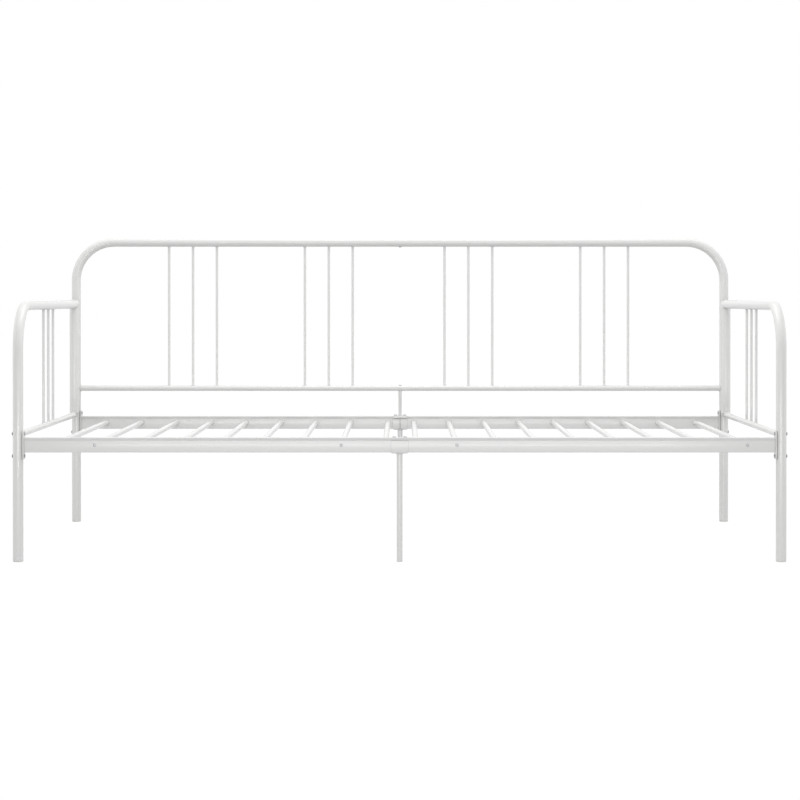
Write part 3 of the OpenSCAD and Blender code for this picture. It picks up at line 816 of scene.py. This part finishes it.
@dataclass
class CentreSupport:
    """Bracket under a rail joint with the leg that is welded to it."""

    row: Row
    leg_r: float = 7.75 * MM
    bead_mm: float = 1.8

    def dress(self, shop: FinishShop) -> None:
        """Coats bracket and leg and lays the bead between them.

        Args:
            shop: Where the finishes come from.
        """
        shop.coat_solids(WHITE_COAT, [f"centre_bracket_{self.row.label}",
                                      f"centre_leg_{self.row.label}"])
        seam = WeldSeam(f"centre_leg_{self.row.label}_weld_bead")
        low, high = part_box(f"centre_leg_{self.row.label}")
        top = Vector(((low.x + high.x) / 2, (low.y + high.y) / 2, high.z))
        seam.add(flat_root(top, -Z_AXIS, X_AXIS, self.leg_r), self.bead_mm)
        seam.build(shop)


@dataclass
class Hardware:
    """Bolts, nuts, spacers, plugs and feet."""

    zinc: tuple[str, ...] = ("side_joint_bolts", "bracket_bolts")
    # Rail bolts and nuts get the zinc copy with painted shade, darker for heads that look sideways
    dull: tuple[str, ...] = ("rail_bolts", "rail_nuts")
    bright: tuple[str, ...] = ("side_joint_nuts", "bracket_nuts")
    plastic: tuple[str, ...] = ("arm_end_plugs", "cross_rail_plugs", "side_joint_spacers",
                                "leg_feet", "centre_leg_feet")

    def dress(self, shop: FinishShop) -> None:
        """Puts plating and plastic on the small parts, and coats the end plates.

        Args:
            shop: Where the finishes come from.
        """
        shop.coat_solids(ZINC, self.zinc)
        # Painted shade: the darker copy of the zinc
        shop.coat_solids(ZINC_PAINTED_SHADE, self.dull)
        shop.coat_solids(BRIGHT, self.bright)
        shop.coat_solids(WHITE_PLASTIC, self.plastic)
        shop.coat_solids(WHITE_COAT, ["rail_end_plates"])


# ---------- studio ----------


@dataclass
class SoftBox:
    """A rectangular studio lamp."""

    name: str
    place: tuple[float, float, float]
    aim: tuple[float, float, float]
    width: float
    height: float
    watts: float

    def build(self) -> None:
        """Hangs the lamp."""
        data = bpy.data.lights.new(self.name, "AREA")
        data.shape = "RECTANGLE"
        data.size, data.size_y = self.width, self.height
        data.energy = self.watts
        lamp = bpy.data.objects.new(self.name, data)
        lamp.location = self.place
        direction = Vector(self.aim) - Vector(self.place)
        lamp.rotation_euler = direction.to_track_quat("-Z", "Y").to_euler()
        bpy.context.scene.collection.objects.link(lamp)
        LOG.info("lamp %s: %.0f W", self.name, self.watts)


@dataclass
class Studio:
    """White floor, soft lamps and a camera at arm height in front of the bed."""

    world_strength: float = 0.68
    floor_size: float = 60.0
    floor_drop: float = 0.2 * MM
    floor_shadow: float = 0.03
    floor_grey: float = 0.45
    floor_glow: float = 1.03
    lens_mm: float = 87.08
    camera_place: tuple[float, float, float] = (0.0083, -5.6519, 0.7094)
    camera_tilt_deg: float = 0.322
    shift_x: float = -0.00338
    shift_y: float = -0.11518
    lamps: tuple[SoftBox, ...] = (
        SoftBox("overhead_box", (0.0, -0.4, 3.2), (0.0, 0.0, 0.5), 4.5, 3.0, 25),
        SoftBox("overhead_front", (0.0, -0.5, 2.7), (0.0, -0.49, 0.5), 1.1, 1.1, 9),
        SoftBox("overhead_rear", (0.0, 0.7, 2.7), (0.0, 0.69, 0.5), 1.1, 1.1, 11),
        SoftBox("low_front_strip", (0.0, -3.5, 0.11), (0.0, 0.0, 0.11), 2.6, 0.18, 19),
        SoftBox("left_box", (-3.2, 0.0, 1.1), (0.0, 0.0, 1.1), 3.5, 2.1, 14),
        SoftBox("right_box", (3.2, 0.0, 1.1), (0.0, 0.0, 1.1), 3.5, 2.1, 14),
    )

    def build(self) -> None:
        """Sets up everything that isn't part of the bed."""
        self.build_world()
        self.build_floor()
        for lamp in self.lamps:
            lamp.build()
        self.build_camera()
        bpy.context.scene.view_settings.view_transform = "Standard"

    @staticmethod
    def seen_directly(tree: bpy.types.NodeTree) -> bpy.types.NodeSocket:
        """Adds nodes that are 1 for what camera, gloss or glass show, and else 0.

        Args:
            tree: The tree that gets the nodes.

        Returns:
            The output with that value.
        """
        path = add_node(tree, "ShaderNodeLightPath")
        mirrored = add_node(tree, "ShaderNodeMath", {
            0: path.outputs["Is Glossy Ray"], 1: path.outputs["Is Transmission Ray"]},
            operation="MAXIMUM")
        shown = add_node(tree, "ShaderNodeMath", {
            0: path.outputs["Is Camera Ray"], 1: mirrored.outputs[0]}, operation="MAXIMUM")
        return shown.outputs[0]

    def build_world(self) -> None:
        """Makes an even white sky that the camera sees as pure white."""
        world = bpy.data.worlds.new("studio_sky")
        bpy.context.scene.world = world
        world.use_nodes = True
        tree = world.node_tree
        tree.nodes.clear()
        shown = self.seen_directly(tree)
        lit = add_node(tree, "ShaderNodeBackground", {
            "Color": (1, 1, 1, 1), "Strength": self.world_strength})
        plain = add_node(tree, "ShaderNodeBackground", {"Color": (1, 1, 1, 1), "Strength": 1.0})
        mixed = add_node(tree, "ShaderNodeMixShader", {
            0: shown, 1: lit.outputs[0], 2: plain.outputs[0]})
        add_node(tree, "ShaderNodeOutputWorld", {"Surface": mixed.outputs[0]})

    def build_floor(self) -> None:
        """Lays a white floor that keeps a faint shadow of the bed."""
        half = self.floor_size / 2
        z = -self.floor_drop
        mesh = bpy.data.meshes.new("studio_floor")
        mesh.from_pydata([(-half, -half, z), (half, -half, z), (half, half, z), (-half, half, z)],
                         [], [(0, 1, 2, 3)])
        floor = bpy.data.objects.new("studio_floor", mesh)
        bpy.context.scene.collection.objects.link(floor)
        material = bpy.data.materials.new("studio_floor_white")
        material.use_nodes = True
        tree = material.node_tree
        tree.nodes.clear()
        shown = self.seen_directly(tree)
        grey = self.floor_grey
        paint = add_node(tree, "ShaderNodeBsdfDiffuse", {"Color": (grey, grey, grey, 1)})
        glow = add_node(tree, "ShaderNodeEmission", {
            "Color": (1, 1, 1, 1), "Strength": self.floor_glow})
        seen = add_node(tree, "ShaderNodeMixShader", {
            0: 1 - self.floor_shadow, 1: paint.outputs[0], 2: glow.outputs[0]})
        mixed = add_node(tree, "ShaderNodeMixShader", {
            0: shown, 1: paint.outputs[0], 2: seen.outputs[0]})
        add_node(tree, "ShaderNodeOutputMaterial", {"Surface": mixed.outputs[0]})
        mesh.materials.append(material)

    def build_camera(self) -> None:
        """Sets the camera that looks at the open front from the height of the arms."""
        data = bpy.data.cameras.new("front_camera")
        data.lens = self.lens_mm
        data.shift_x, data.shift_y = self.shift_x, self.shift_y
        camera = bpy.data.objects.new("front_camera", data)
        camera.location = self.camera_place
        camera.rotation_euler = (math.radians(90 - self.camera_tilt_deg), 0, 0)
        bpy.context.scene.collection.objects.link(camera)
        bpy.context.scene.camera = camera


def main() -> None:
    """Builds the studio and dresses each sub-assembly in order."""
    logging.basicConfig(level=logging.INFO, format="%(name)s: %(message)s", stream=sys.stdout)
    Studio().build()
    shop = FinishShop()
    assemblies = [BackPanel(), *[SidePanel(side) for side in Side],
                  *[SeatRail(row, side) for row in Row for side in Side],
                  SlatBase(), *[CentreSupport(row) for row in Row], Hardware()]
    for assembly in assemblies:
        assembly.dress(shop)


if __name__ == "__main__":
    main()
